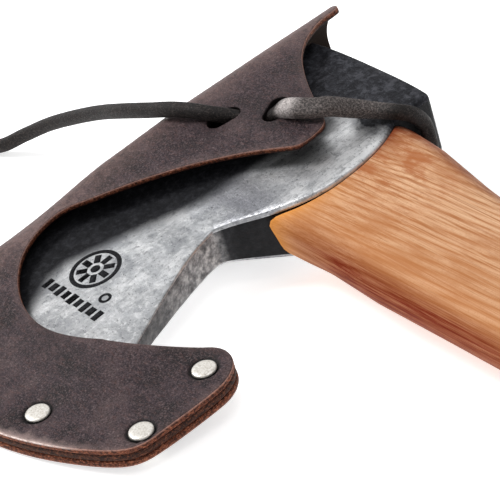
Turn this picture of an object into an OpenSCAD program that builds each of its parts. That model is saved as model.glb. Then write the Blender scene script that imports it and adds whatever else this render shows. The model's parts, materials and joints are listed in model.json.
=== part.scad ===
// Carving hatchet lying on its side in its leather sheath.
// Every piece is drawn in the axe's own frame: x runs down the handle, y runs from the
// cutting edge to the poll, z is across the cheeks, and the eye's centre is the origin.
// lay() then rests the whole axe on the surface at z = 0.

/* [Head] */
// Height of the poll, from the top of the head to its underside
poll_h = 58; // [54:0.5:60]
// Distance from the eye's centre to the poll face
poll_y = 44; // [40:0.5:48]
// Thickness of the head across the eye
head_t = 21.6; // [20:0.2:21.8]
// Radius of the curved cutting edge
edge_r = 95; // [92:0.5:95]
// Depth of the ground bevel behind the cutting edge
bevel = 7; // [5:0.5:10]

/* [Handle] */
// Distance from the eye's centre line's top to the knob's end
handle_end = 300; // [292:1:320]
// Diameter of the hang hole in the knob
hang_d = 7; // [5:0.5:9]

/* [Sheath] */
// Thickness of each of the three leather layers
leather_t = 2.4; // [2:0.1:2.6]
// Distance that the sheath's front seam reaches past the cutting edge
seam_w = 18; // [17:0.5:20]
// Height of each panel's outer face over the poll
panel_h = 18.4; // [18.4:0.1:20]
// Diameter of the rivet caps
cap_d = 7.4; // [6.5:0.1:8]
// Diameter of the rivet posts
post_d = 3; // [2.5:0.1:3.5]

/* [Thong] */
// Diameter of the leather thong
thong_d = 4.6; // [3.8:0.1:4.6]

/* [Resting pose] */
// Roll about the handle that lets the sheath's front seam touch the surface
roll = 6.62; // [5:0.01:8]
// Pitch about the head that lets the knob touch the surface
pitch = 0.59; // [0:0.01:1.5]

/* [Hidden] */
$fn = 64;

// Where the axe frame's origin lies once the axe rests on the surface.
place = [-114.46, 37.06, 18.45];

// The cutting edge and the sheath's front seam are arcs about one centre.
edge_c = [-22.5, -17.3];
toe_x = -66.5;
heel_x = 20;
seam_r = edge_r + seam_w;
half_t = head_t / 2;
fold_x = -71;
corner_x = 46;
seam_h = 1.5 * leather_t;
welt_h = leather_t / 2;
seam_y = -111;
crown_y = -2;
tip_y = 54;
steps = 8;

// A cubic curve from a to d, steered by b and c, without its last point.
function curve(a, b, c, d, n = steps) = [
    for (i = [0:n - 1])
        let (t = i / n)
        pow(1 - t, 3) * a + 3 * t * pow(1 - t, 2) * b + 3 * t * t * (1 - t) * c + pow(t, 3) * d
];

// The y of an arc of radius r about edge_c, at x.
function arc_y(r, x) = edge_c.y - sqrt(r * r - pow(x - edge_c.x, 2));

// Points along that arc from x0 to x1.
function arc(r, x0, x1, n) = [
    for (i = [0:n])
        let (x = x0 + (x1 - x0) * i / n)
        [x, arc_y(r, x)]
];

// One smooth pass through the points of a route, with n rings for each span.
function at(p, i) = p[max(0, min(len(p) - 1, i))];
function spline(p, n) = [
    for (i = [0:len(p) - 2], k = [0:n - 1])
        let (t = k / n, a = at(p, i - 1), b = at(p, i), c = at(p, i + 1), d = at(p, i + 2))
        0.5 * (2 * b + (c - a) * t + (2 * a - 5 * b + 4 * c - d) * t * t
            + (3 * b - a - 3 * c + d) * t * t * t),
    p[len(p) - 1]
];
function unit(v) = v / norm(v);

// Corner b of a clockwise outline, moved in by d from both of its sides.
function inner_corner(a, b, c, d) =
    let (u = unit(b - a), v = unit(c - b))
    d == 0 ? b : b - d / (u.x * v.y - u.y * v.x) * (v - u);
function inset(p, d) =
    let (n = len(p))
    [for (i = [0:n - 1]) inner_corner(p[(i + n - 1) % n], p[i], p[(i + 1) % n], d)];

// The axe rests on its sheath and its knob.
module lay() {
    translate(place)
        rotate([roll, pitch, 0])
            children();
}

// A flat shape across the cheeks, extruded along the handle from x0 to x1.
module along_x(x0, x1) {
    translate([x0, 0, 0])
        rotate([90, 0, 90])
            linear_extrude(x1 - x0)
                children();
}

// A flat shape across the cheeks, extruded from y0 towards the poll to y1.
module along_y(y0, y1) {
    translate([0, y1, 0])
        rotate([90, 0, 0])
            linear_extrude(y1 - y0)
                children();
}

// An outline with the same points mirrored below its axis, then moved in by d.
module both_sides(points, d = 0) {
    n = len(points);
    mirrored = [for (i = [0:n - 1]) [points[n - 1 - i].x, -points[n - 1 - i].y]];
    polygon(inset(concat(points, mirrored), d));
}

// A tube of the thong's size along a route, with its sides turned from a fixed direction.
module tube(route, n, up, sides = 8) {
    p = spline(route, n);
    last = len(p) - 1;
    rings = [
        for (i = [0:last])
            let (
                t = unit(at(p, i + 1) - at(p, i - 1)),
                u = unit(cross(t, up)),
                v = cross(t, u)
            )
            for (k = [0:sides - 1])
                p[i] + thong_d / 2 * (cos(360 * k / sides) * u + sin(360 * k / sides) * v)
    ];
    walls = [
        for (i = [0:last - 1], k = [0:sides - 1])
            let (j = (k + 1) % sides)
            [i * sides + k, i * sides + j, (i + 1) * sides + j, (i + 1) * sides + k]
    ];
    first_cap = [for (k = [0:sides - 1]) sides - 1 - k];
    last_cap = [for (k = [0:sides - 1]) last * sides + k];
    polyhedron(rings, concat([first_cap], walls, [last_cap]), convexity = 10);
}

// Side view of the head: poll, lug under the eye, beard, cutting edge and top.
module head_side() {
    top_x = -poll_h;
    heel = [heel_x, arc_y(edge_r, heel_x)];
    lug = [8.5, 2];
    arch = [-10.5, -36];
    polygon(concat(
        [[top_x, poll_y], [0, poll_y]],
        curve([0, 28], [3.5, 26], [8.5, 14], lug),
        curve(lug, [9.5, -18], [-5, -25], arch),
        curve(arch, [-10.5, -46], [6, -74], heel),
        arc(edge_r, heel_x, toe_x, 24)
    ));
}

// The eye is egg shaped, with its narrow end towards the edge.
module eye(gap) {
    back_r = 7.2 - gap;
    front_r = 4.4 - gap;
    translate([12.5, 0])
        circle(back_r);
    translate([-15.5, 0])
        circle(front_r);
    both_sides([[-15.9, front_r - 0.02], [12.2, back_r - 0.02]]);
}

module head() {
    blade_r = edge_r - bevel;
    bevel_h = 1.35;
    neck_r = 29.7;
    neck_h = 6.2;
    color([0.5, 0.51, 0.53])
    lay()
        difference() {
            intersection() {
                linear_extrude(40, center = true)
                    head_side();
                union() {
                    along_x(-80, 40)
                        both_sides([
                            [-60, 2], [-37, 6.6], [-27, 8], [-19, 9.3], [-6, half_t],
                            [poll_y - 1.5, half_t], [poll_y, half_t - 1.2]
                        ]);
                    translate([edge_c.x, edge_c.y, 0])
                        rotate_extrude($fn = 128)
                            polygon([
                                [0, -neck_h], [neck_r, -neck_h], [blade_r, -bevel_h], [edge_r, -0.15],
                                [edge_r, 0.15], [blade_r, bevel_h], [neck_r, neck_h], [0, neck_h]
                            ]);
                }
            }
            along_x(-80, 40)
                eye(0);
        }
}

// The kerf in the handle's tongue, which the wooden wedge fills.
module kerf(gap) {
    along_y(-17 - gap, 18 + gap)
        polygon([[-61.5, 2 + gap], [-61.5, -2 - gap], [-16, -0.4 - gap], [-16, 0.4 + gap]]);
}

module steel_wedge_shape(gap) {
    translate([0, 6, 0])
        along_y(-1.3 - gap, 1.3 + gap)
            polygon([[-61, 5 + gap], [-61, -5 - gap], [-40, -4 - gap], [-40, 4 + gap]]);
}

// One cross-section of the handle at x, from its front to its back.
module section(x, front, back, front_r, back_r) {
    translate([x, front + front_r, 0])
        rotate([0, 90, 0])
            cylinder(h = 0.4, r = front_r, $fn = 32);
    translate([x, back - back_r, 0])
        rotate([0, 90, 0])
            cylinder(h = 0.4, r = back_r, $fn = 32);
}

// x, front, back, front radius and back radius of each section, from shoulder to knob.
sections = [
    [-3, -21.5, 10, 8, 9.4],
    [5, -21.6, 33.4, 8.4, 10],
    [46, -23, 26.2, 10.6, 11],
    [110, -22, 17.2, 11, 11.5],
    [200, -20.5, 14.5, 11.2, 12],
    [262, -27, 15.5, 12, 13],
    [292, -38, 13.5, 12.5, 13.5],
    [handle_end - 0.4, -34, 8, 8.5, 9]
];

module handle() {
    color([0.86, 0.66, 0.44])
    lay()
        difference() {
            union() {
                difference() {
                    for (i = [0:len(sections) - 2])
                        hull() {
                            s = sections[i];
                            e = sections[i + 1];
                            section(s[0], s[1], s[2], s[3], s[4]);
                            section(e[0], e[1], e[2], e[3], e[4]);
                        }
                    linear_extrude(40, center = true)
                        head_side();
                }
                along_x(-61.5, 12)
                    eye(0.1);
            }
            kerf(0);
            steel_wedge_shape(0);
            translate([284, -13, -20])
                cylinder(h = 40, d = hang_d);
        }
}

module eye_wedge() {
    color([0.72, 0.52, 0.33])
    lay()
        difference() {
            kerf(-0.05);
            steel_wedge_shape(0.05);
        }
}

module steel_wedge() {
    color([0.62, 0.63, 0.65])
    lay()
        steel_wedge_shape(-0.05);
}

// Outline of each sheath panel: seam, heel horn, cut-out, tab, poll end and fold.
module panel_outline() {
    horn = [29, -67.5];
    corner = [corner_x, -100];
    cut_low = [-12, -92];
    cut_mid = [-52, -78.5];
    cut_top = [-54, -54.5];
    tab_low = [-7, -1.5];
    tab_high = [-9.5, 11];
    tip = [-54.5, tip_y];
    polygon(concat(
        arc(seam_r, fold_x, 38, 28),
        curve([38, arc_y(seam_r, 38)], [42.5, -109.5], [46, -107], corner, 6),
        curve(corner, [46, -92], [46, -84], [45, -76], 2),
        curve([45, -76], [43, -67], [35, -63], horn, 6),
        curve(horn, [16, -78], [4, -87.5], cut_low),
        curve(cut_low, [-27, -96], [-43, -89.5], cut_mid),
        curve(cut_mid, [-56.5, -72.5], [-59, -62], cut_top),
        curve(cut_top, [-39, -30], [-29, -18], tab_low),
        curve(tab_low, [-6.5, 3], [-6.5, 9], tab_high, 5),
        curve(tab_high, [-20, 16], [-28, 19], [-38, 25.4], 4),
        curve([-38, 25.4], [-47, 31], [-56, 39], tip),
        [tip, [fold_x, tip_y]]
    ));
}

// The space inside the panels' outer faces, from the seam up to the crown over the eye,
// with the fold's bend at the head's top. It is moved in by d for the inner faces.
module envelope(d) {
    intersection() {
        along_x(-90, 60)
            both_sides([[-140, seam_h], [seam_y, seam_h], [crown_y, panel_h], [70, panel_h]], d);
        along_y(-140, 70)
            both_sides([
                [fold_x, 2.5], [fold_x + 3.7, 9], [fold_x + 10.4, 15], [fold_x + 18, 18.6],
                [fold_x + 21, 20.4], [-9, 20.4], [3, 7], [27, seam_h], [60, seam_h]
            ], d);
    }
}

// Centres of the rivets, from the heel round the seam to the toe.
rivets = [
    [35, -74.5], [41, -101], [9, arc_y(seam_r - 10.5, 9)],
    [-27, arc_y(seam_r - 10, -27)], [-58, arc_y(seam_r - 10, -58)]
];
cap_h = 1.1;
cap_sink = 0.7;

// The slots that the thong is threaded through: centre, direction and length of each.
slots = [[[-40.9, -5.6], 78, 12.5], [[-28.2, 6.4], 118, 12]];
slot_w = 6.2;

module slot(centre, turn, length) {
    translate([centre.x, centre.y, 0])
        rotate([0, 0, turn]) {
            for (side = [-1, 1])
                translate([side * (length - slot_w) / 2, 0, 0])
                    cylinder(h = 30, d = slot_w);
            translate([(slot_w - length) / 2, -slot_w / 2, 0])
                cube([length - slot_w, slot_w, 30]);
        }
}

module sheath_leather() {
    color([0.3, 0.22, 0.2])
    lay()
        difference() {
            intersection() {
                linear_extrude(50, center = true)
                    panel_outline();
                envelope(0);
            }
            envelope(leather_t);
            for (r = rivets)
                translate([r.x, r.y, 0]) {
                    cylinder(h = 30, d = post_d + 0.2, center = true);
                    for (side = [-1, 1])
                        translate([0, 0, side * (seam_h + 2 - cap_sink - 0.3)])
                            cylinder(h = 4, d = cap_d + 1, center = true);
                }
            for (s = slots)
                slot(s[0], s[1], s[2]);
            // the back panel is cut narrower at its poll end
            translate([0, 0, -30])
                linear_extrude(29)
                    polygon([[-30, 70], [-30, 17], [-45, 26.5], [-58, 36], [-61.5, 46], [-61.5, 70]]);
        }
}

module welt() {
    gap_r = edge_r + 3;
    color([0.26, 0.2, 0.13])
    lay()
        difference() {
            intersection() {
                translate([0, 0, -welt_h])
                    linear_extrude(leather_t)
                        panel_outline();
                translate([fold_x + leather_t + 0.1, -200, -10])
                    cube([200, 300, 20]);
            }
            intersection() {
                translate([edge_c.x, edge_c.y, 0])
                    cylinder(h = 20, r = gap_r, center = true, $fn = 128);
                translate([-176.5, -150, -10])
                    cube([200, 300, 20]);
            }
            for (r = rivets)
                translate([r.x, r.y, 0])
                    cylinder(h = 30, d = post_d + 0.2, center = true);
        }
}

// A cap with its post, set from the front face.
module rivet(i) {
    top = seam_h + 0.1;
    color([0.86, 0.84, 0.8])
    lay()
        translate([rivets[i].x, rivets[i].y, 0])
            rotate_extrude()
                polygon([
                    [0, -seam_h + 1], [post_d / 2, -seam_h + 1], [post_d / 2, top - cap_h + 0.2],
                    [cap_d / 2, top - cap_h + 0.2], [cap_d / 2, top - 0.25], [cap_d / 2 - 0.4, top],
                    [0, top + 0.15]
                ]);
}

// The cap that closes the rivet from the back.
module back_cap(i) {
    color([0.8, 0.78, 0.74])
    lay()
        translate([rivets[i].x, rivets[i].y, 0])
            rotate_extrude()
                polygon([
                    [0, -seam_h + 0.1], [cap_d / 2 - 0.4, -seam_h + 0.1], [cap_d / 2, -seam_h + 0.35],
                    [cap_d / 2, -seam_h + 0.95], [0, -seam_h + 0.95]
                ]);
}

// The thong's free end lies beside the axe, climbs over the fold and is threaded through
// both slots on to the tab.
tail_route = [
    [-139, -58, -10.5], [-136, -70, -9.1], [-142, -80, -8], [-154, -82, -7.9],
    [-165, -75, -8.8], [-168, -62, -10.3], [-162, -50, -11.6], [-152, -42, -12.4],
    [-141.5, -37, -12.4], [-133, -30.5, -8.6], [-122, -25.5, -3.2], [-108.5, -22, 2.5],
    [-94.5, -19.5, 8], [-81, -18.5, 13], [-66.5, -15.8, 17], [-57, -13.5, 19.4],
    [-50.5, -10.7, 19.7], [-46, -8.2, 18.9], [-42.5, -4.5, 17], [-39.5, -0.8, 14.6],
    [-36, 1.7, 13.5], [-32, 4.3, 13.7], [-28.5, 6, 15.8], [-25, 6.8, 18.7],
    [-21, 7.2, 20.4], [-17.4, 8.1, 21], [-14.2, 9.9, 21.1], [-13, 10.75, 21.1]
];

// It crosses the cheek, drops behind the handle's shoulder and turns under.
neck_route = [
    [-12.3, 11.3, 21.1], [-11.4, 12.3, 21.05], [-10.4, 14.5, 20.3], [-9, 18.5, 17.9],
    [-7, 22.5, 15.6], [-4, 26, 14], [1.4, 29.2, 13.5], [3, 33, 10.9], [2.9, 36.6, 5.6],
    [2.9, 37.3, 0], [2.9, 36.6, -5.6], [2.9, 33, -10.9], [1.2, 29.5, -13.6],
    [-4.5, 26.2, -13.8], [-8.3, 23.6, -13.6], [-9.4, 22.6, -13.5]
];

// It runs between the cheek and the back panel, out to its stopper knot in the cut-out.
back_route = [
    [-10, 22, -13.5], [-11, 20.8, -13.5], [-15, 15, -13.5], [-20, 6, -13.5], [-24, -3, -13.5],
    [-27, -10, -13.2], [-29, -18, -12.7], [-30, -26, -11.6], [-30, -30.4, -10.9]
];
knot = [-30, -34, -10.7];

module thong_tail() {
    color([0.2, 0.16, 0.15])
    lay()
        tube(tail_route, 2, [0, 0, 1]);
}

module thong_neck() {
    color([0.2, 0.16, 0.15])
    lay()
        tube(neck_route, 1, [1, 0, 0]);
}

module thong_back() {
    color([0.2, 0.16, 0.15])
    lay()
        tube(back_route, 1, [0, 1, 0]);
}

module thong_knot() {
    color([0.2, 0.16, 0.15])
    lay()
        translate(knot)
            sphere(r = 3.2, $fn = 32);
}

head();
handle();
eye_wedge();
steel_wedge();
sheath_leather();
welt();
rivet(0);  // rivet_heel
rivet(1);  // rivet_corner
rivet(2);  // rivet_edge_1
rivet(3);  // rivet_edge_2
rivet(4);  // rivet_toe
back_cap(0);  // back_cap_heel
back_cap(1);  // back_cap_corner
back_cap(2);  // back_cap_edge_1
back_cap(3);  // back_cap_edge_2
back_cap(4);  // back_cap_toe
thong_tail();
thong_neck();
thong_back();
thong_knot();
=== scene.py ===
"""Looks of the carving hatchet in its leather sheath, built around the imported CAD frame."""

import json
import math

import bmesh
import bpy
import numpy as np
from mathutils import Matrix, Vector
from mathutils.geometry import delaunay_2d_cdt


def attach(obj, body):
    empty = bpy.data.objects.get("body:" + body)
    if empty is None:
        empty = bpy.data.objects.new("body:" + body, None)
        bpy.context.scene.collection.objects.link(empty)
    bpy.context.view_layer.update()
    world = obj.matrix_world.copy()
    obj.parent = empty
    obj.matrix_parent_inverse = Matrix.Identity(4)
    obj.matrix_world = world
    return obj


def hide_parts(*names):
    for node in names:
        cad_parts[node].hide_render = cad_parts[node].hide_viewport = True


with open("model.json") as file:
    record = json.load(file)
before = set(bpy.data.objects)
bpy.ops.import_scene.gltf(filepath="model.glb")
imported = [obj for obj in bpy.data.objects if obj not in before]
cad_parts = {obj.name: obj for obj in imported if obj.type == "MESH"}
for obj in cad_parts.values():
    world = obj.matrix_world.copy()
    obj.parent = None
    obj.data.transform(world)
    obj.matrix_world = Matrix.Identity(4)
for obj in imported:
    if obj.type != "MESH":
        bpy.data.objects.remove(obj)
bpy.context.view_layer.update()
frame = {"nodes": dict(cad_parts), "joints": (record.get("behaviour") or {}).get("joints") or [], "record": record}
record = frame["record"]

# ---- the axe's own frame
# x runs down the handle, y from the edge to the poll, z across the cheeks, in mm, with the
# eye's centre as the origin. The record's joint and hang hole say how it lies.
mounts = {m["name"]: m for m in record["mounts"]}
Y_AXIS = np.array(frame["joints"][0]["axis"], float)
Z_AXIS = np.array(mounts["hang_hole"]["axis"], float)
Y_AXIS /= np.linalg.norm(Y_AXIS)
Z_AXIS -= Y_AXIS * (Z_AXIS @ Y_AXIS)
Z_AXIS /= np.linalg.norm(Z_AXIS)
X_AXIS = np.cross(Y_AXIS, Z_AXIS)
AXES = np.array([X_AXIS, Y_AXIS, Z_AXIS])
HANG = np.array([284.0, -13.0, 0.0])
ORIGIN = np.array(mounts["hang_hole"]["pos_m"], float) - HANG @ AXES / 1000


def lay(points):
    """Points of the axe's frame, in mm, as points of the row frame, in metres."""
    return np.asarray(points, float) @ AXES / 1000 + ORIGIN


def unit(v):
    v = np.asarray(v, float)
    return v / np.maximum(np.linalg.norm(v, axis=-1, keepdims=True), 1e-12)


def eased(t):
    """t from 0 to 1, with a soft start and end."""
    return t * t * (3 - 2 * t)


def soft_max(a, b, k):
    """The larger of a and b, rounded over by about k where they meet."""
    return k * np.logaddexp(a / k, b / k)


# ---- camera
CAM_RIGHT = unit([0.5932, 0.7635, -0.2555])
CAM_BACK = unit([0.7285, -0.3740, 0.5739])
CAM_TARGET = np.array([-1.0, -31.0, 0.0])
CAM_DISTANCE = 699.7
FOCAL = 2379.0
IMAGE = 500.0
SENSOR = 36.0

cam_data = bpy.data.cameras.new("camera")
cam_data.sensor_width = SENSOR
cam_data.lens = SENSOR * FOCAL / IMAGE
cam_data.clip_start = 0.01
cam = bpy.data.objects.new("camera", cam_data)
bpy.context.scene.collection.objects.link(cam)
back = unit(CAM_BACK @ AXES)
right = unit(CAM_RIGHT @ AXES - (CAM_RIGHT @ AXES @ back) * back)
eye = lay(CAM_TARGET + CAM_BACK * CAM_DISTANCE)
pose = np.eye(4)
pose[:3] = np.column_stack([right, np.cross(back, right), back, eye])
cam.matrix_world = Matrix(pose.tolist())
bpy.context.scene.camera = cam


# ---- mesh helpers
def store(mesh, name, values):
    """A number or a vector for each vertex of a mesh, as an attribute."""
    values = np.asarray(values, np.float32)
    kind, field = ("FLOAT", "value") if values.ndim == 1 else ("FLOAT_VECTOR", "vector")
    mesh.attributes.new(name, kind, "POINT").data.foreach_set(field, values.ravel())


def make_mesh(name, verts, faces, materials, face_material=None, masks=None):
    """A mesh object, its faces looking outwards, from points of the axe's frame in mm. It stores
    those points as the attribute "local", for the materials."""
    verts = np.asarray(verts, float)
    mesh = bpy.data.meshes.new(name)
    mesh.from_pydata([tuple(p) for p in lay(verts)], [], [tuple(map(int, f)) for f in faces])
    for material in materials:
        mesh.materials.append(material)
    if face_material is not None:
        mesh.polygons.foreach_set("material_index", np.asarray(face_material, np.int32))
    mesh.polygons.foreach_set("use_smooth", [True] * len(mesh.polygons))
    store(mesh, "local", verts)
    for key, values in (masks or {}).items():
        store(mesh, key, values)
    mesh.validate()
    mesh.update()
    outwards = bmesh.new()
    outwards.from_mesh(mesh)
    bmesh.ops.recalc_face_normals(outwards, faces=outwards.faces)
    outwards.to_mesh(mesh)
    outwards.free()
    obj = bpy.data.objects.new(name, mesh)
    bpy.context.scene.collection.objects.link(obj)
    return obj


def ring_faces(rows, sides, closed=False):
    """Quads between rings of points that follow each other."""
    faces = []
    for i in range(rows if closed else rows - 1):
        a, b = i * sides, (i + 1) % rows * sides
        for k in range(sides):
            j = (k + 1) % sides
            faces.append((a + k, a + j, b + j, b + k))
    return faces


def tube_faces(rows, sides):
    """Quads between rings of points, and a face over both ends."""
    ends = [list(range(sides))[::-1], list(range((rows - 1) * sides, rows * sides))]
    return ring_faces(rows, sides) + ends


def turned(k, sides):
    """The direction k steps round a full turn of so many sides."""
    a = 2 * math.pi * k / sides
    return math.cos(a), math.sin(a)


def place(obj, body, slot, *nodes):
    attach(obj, body)
    if nodes:
        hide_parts(*nodes)
    return obj


def directions(turn):
    """Along and across, for a flat shape turned by so many degrees."""
    a = math.radians(turn)
    return np.array([math.cos(a), math.sin(a)]), np.array([-math.sin(a), math.cos(a)])


def bezier(a, b, c, d, n):
    """n points of a cubic curve, without its last."""
    t = np.linspace(0, 1, n, endpoint=False)[:, None]
    a, b, c, d = (np.array(q, float) for q in (a, b, c, d))
    return (1 - t) ** 3 * a + 3 * t * (1 - t) ** 2 * b + 3 * t * t * (1 - t) * c + t**3 * d


EDGE_C = np.array([-22.5, -17.3])
EDGE_R = 95.0
SEAM_R = 113.0
FOLD_X = -71.0
ARC_END = 38
CORNER = (46.0, -100)
HORN = (29, -67.5)
TIP_Y = 55.6
LEATHER_T = 2.4
SEAM_H = 3.6
PANEL_H = 18.4
PANEL_FOOT = -111
PANEL_RISE = 109
BEVEL = 7
TOE_X = -66.5
HEEL_X = 20.0
POLL_Y = 44.0
POLL_H = 58.0


def from_centre(x, y):
    """Distance from the centre of the edge's arc."""
    return np.hypot(x - EDGE_C[0], y - EDGE_C[1])


def arc_y(r, x):
    return EDGE_C[1] - np.sqrt(np.maximum(r * r - (np.asarray(x, float) - EDGE_C[0]) ** 2, 0))


def arc(r, x0, x1, n):
    x = np.linspace(x0, x1, n)
    return np.stack([x, arc_y(r, x)], 1)


def resample(loop, step):
    """A closed outline with points about step apart, keeping its corners."""
    loop = np.asarray(loop, float)
    out = []
    for a, b in zip(loop, np.roll(loop, -1, 0)):
        n = max(1, int(round(np.linalg.norm(b - a) / step)))
        out += [a + (b - a) * k / n for k in range(n)]
    return np.array(out)


def even_outline(loop, step, soften=0):
    """A closed outline at even spacing, softened by a few passes of averaging."""
    loop = np.asarray(loop, float)
    closed = np.vstack([loop, loop[:1]])
    seg = np.linalg.norm(np.diff(closed, axis=0), axis=1)
    s = np.concatenate([[0], np.cumsum(seg)])
    n = max(12, int(round(s[-1] / step)))
    u = np.linspace(0, s[-1], n, endpoint=False)
    out = np.stack([np.interp(u, s, closed[:, k]) for k in range(2)], 1)
    for _ in range(soften):
        out = 0.5 * out + 0.25 * (np.roll(out, 1, 0) + np.roll(out, -1, 0))
    return out


def area(loop):
    x, y = loop[:, 0], loop[:, 1]
    return 0.5 * np.sum(x * np.roll(y, -1) - np.roll(x, -1) * y)


def outward(loop):
    """Outward normals of a closed anticlockwise outline."""
    t = unit(np.roll(loop, -1, 0) - np.roll(loop, 1, 0))
    return np.stack([t[:, 1], -t[:, 0]], 1)


def inside(points, loop):
    x, y = points[:, 0], points[:, 1]
    hit = np.zeros(len(points), bool)
    for (x0, y0), (x1, y1) in zip(loop, np.roll(loop, -1, 0)):
        cross = (y0 > y) != (y1 > y)
        with np.errstate(divide="ignore", invalid="ignore"):
            hit ^= cross & (x < (x1 - x0) * (y - y0) / (y1 - y0 + 1e-30) + x0)
    return hit


def distance(points, loop):
    """Distance of each point from a closed outline."""
    best = np.full(len(points), 1e9)
    for a, b in zip(loop, np.roll(loop, -1, 0)):
        d = b - a
        t = np.clip(((points - a) @ d) / max(d @ d, 1e-12), 0, 1)
        best = np.minimum(best, np.linalg.norm(points - a - t[:, None] * d, axis=1))
    return best


def slab(name, outer, holes, top, bottom, rim, step, materials, extra=(), rim_from=1, masks=None):
    """A closed sheet between the surfaces top(points) and bottom(points), bounded by an
    outline and holes. rim lists (inset, share) from the top's edge to the bottom's, so the
    edge is rounded: share runs from 0 on the top surface to 1 on the bottom one. The materials
    are those of the top, of the rim from its ring rim_from on, and of the bottom."""
    loops = [outer if area(outer) > 0 else outer[::-1]]
    loops += [h if area(h) < 0 else h[::-1] for h in holes]
    normals = [outward(loop) for loop in loops]
    edge = [loop - n * rim[0][0] for loop, n in zip(loops, normals)]
    starts = np.cumsum([0] + [len(e) for e in edge]).tolist()

    def within(points):
        ok = inside(points, edge[0])
        for hole in edge[1:]:
            ok &= ~inside(points, hole)
        return ok

    lo, hi = loops[0].min(0), loops[0].max(0)
    xs = np.arange(lo[0], hi[0], step)
    ys = np.arange(lo[1], hi[1], step * 0.866)
    grid = np.array([(x + step / 2 * (j % 2), y) for j, y in enumerate(ys) for x in xs])
    if len(extra):
        gap = np.linalg.norm(grid[:, None, :] - extra[None, :, :], axis=2).min(axis=1)
        grid = np.vstack([grid[gap > step * 0.45], extra])
    grid = grid[within(grid)]
    grid = grid[np.min([distance(grid, e) for e in edge], axis=0) > step * 0.42]
    points = [Vector(p) for p in np.vstack(edge + [grid])]
    sides = [(a + i, a + (i + 1) % len(e)) for a, e in zip(starts, edge) for i in range(len(e))]
    flat, _, cells, origin, _, _ = delaunay_2d_cdt(points, sides, [], 0, 1e-6)
    flat = np.array([tuple(v) for v in flat])
    index = {source: k for k, sources in enumerate(origin) for source in sources}
    centres = np.array([flat[list(f)].mean(0) for f in cells])
    cells = [tuple(f) for f, ok in zip(cells, within(centres)) if ok]

    under = len(flat)
    under_kind = 2 if len(materials) > 2 else 0
    faces = cells + [tuple(under + i for i in reversed(f)) for f in cells]
    kinds = [0] * len(cells) + [under_kind] * len(cells)
    verts = [top(flat), bottom(flat)]
    where = [flat, flat]
    depths = [np.zeros(under), np.ones(under)]
    new = 2 * under
    for loop, n, start in zip(loops, normals, starts):
        count = len(loop)
        ids = [[index[start + i] for i in range(count)]]
        for inset, share in rim[1:-1]:
            q = loop - n * inset
            verts.append(top(q) * (1 - share) + bottom(q) * share)
            where.append(q)
            depths.append(np.full(count, share))
            ids.append(list(range(new, new + count)))
            new += count
        ids.append([under + i for i in ids[0]])
        rim_to = len(ids) - 1 - (0 if under_kind else rim_from)
        for r in range(len(ids) - 1):
            for i in range(count):
                j = (i + 1) % count
                faces.append((ids[r][i], ids[r + 1][i], ids[r + 1][j], ids[r][j]))
                kinds.append(1 if rim_from <= r < rim_to else 0)
    values = {key: mask(np.vstack(where)) for key, mask in (masks or {}).items()}
    values["depth"] = np.concatenate(depths)
    return make_mesh(name, np.vstack(verts), faces, materials, kinds, values)


def revolve(name, profile, centre, material, flip=False, segments=48):
    """A turned piece about an axis along z at centre, from (radius, height) pairs."""
    sign = -1 if flip else 1
    verts = []
    for r, z in profile:
        for k in range(segments):
            c, s = turned(k, segments)
            verts.append((centre[0] + r * c, centre[1] + r * s, sign * z))
    return make_mesh(name, verts, tube_faces(len(profile), segments), [material])


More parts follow.
